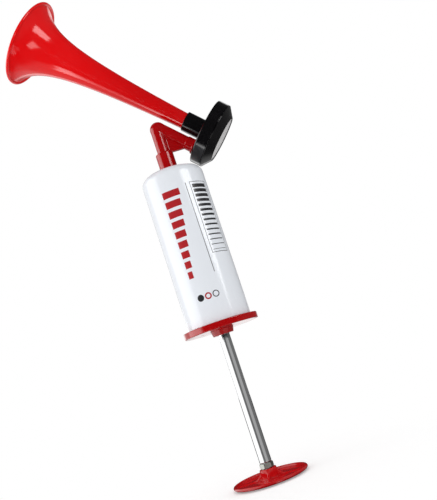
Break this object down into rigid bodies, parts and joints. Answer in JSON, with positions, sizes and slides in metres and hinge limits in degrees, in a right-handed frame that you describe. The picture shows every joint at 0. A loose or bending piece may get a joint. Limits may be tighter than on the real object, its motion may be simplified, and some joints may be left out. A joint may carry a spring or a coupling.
{
  "type": "hand pump air horn",
  "caption": "Hand-held air horn: a white pump canister with a drawn plunger and round handle, and a red flared trumpet with a black diaphragm housing on a swivelling elbow.",
  "frame": {"origin": "middle of the handle disc's flat underside, on the pump's axis", "axes": "+Z along the pump's axis from the handle to the trumpet; the trumpet lies in the XZ plane with its mouth towards -X and +Z"},
  "size_m": [0.165, 0.0712, 0.4124],
  "materials": {
    "red_abs": "gloss",
    "white_abs": "gloss",
    "black_abs": "satin",
    "pale_grey_abs": "satin",
    "plated_steel": "polished",
    "zinc_steel": "satin",
    "black_rubber": "matte",
    "white_nylon": "satin",
    "black_acetal": "satin",
    "clear_film": "gloss"
  },
  "bodies": {
    "canister": {"barrel": "white_abs", "end_cap": "red_abs", "bump_stop": "black_rubber", "elbow_seal_ring": "black_rubber"},
    "bush": {"rod_bush": "black_acetal"},
    "plunger": {"pump_rod": "plated_steel", "lock_nut": "plated_steel", "handle_disc": "red_abs", "lower_washer": "zinc_steel", "piston_head": "white_nylon", "piston_cup": "black_rubber", "upper_washer": "zinc_steel", "piston_bolt": "zinc_steel"},
    "horn": {"elbow": "red_abs", "inlet_gasket": "black_rubber", "housing_shell": "black_abs", "diaphragm": "clear_film", "diaphragm_gasket": "black_rubber", "retaining_ring": "black_abs", "rear_disc": "pale_grey_abs", "bell": "red_abs"}
  },
  "joints": [
    {"name": "rod_spin", "type": "hinge", "parent": "canister", "child": "bush", "pos_m": [0, 0, 0.1216], "axis": [0, 0, 1], "continuous": true},
    {"name": "rod_slide", "type": "slide", "parent": "bush", "child": "plunger", "axis": [0, 0, 1], "range_m": [0, 0.098]},
    {"name": "horn_swivel", "type": "hinge", "parent": "canister", "child": "horn", "pos_m": [0, 0, 0.2471], "axis": [0, 0, 1], "continuous": true}
  ]
}
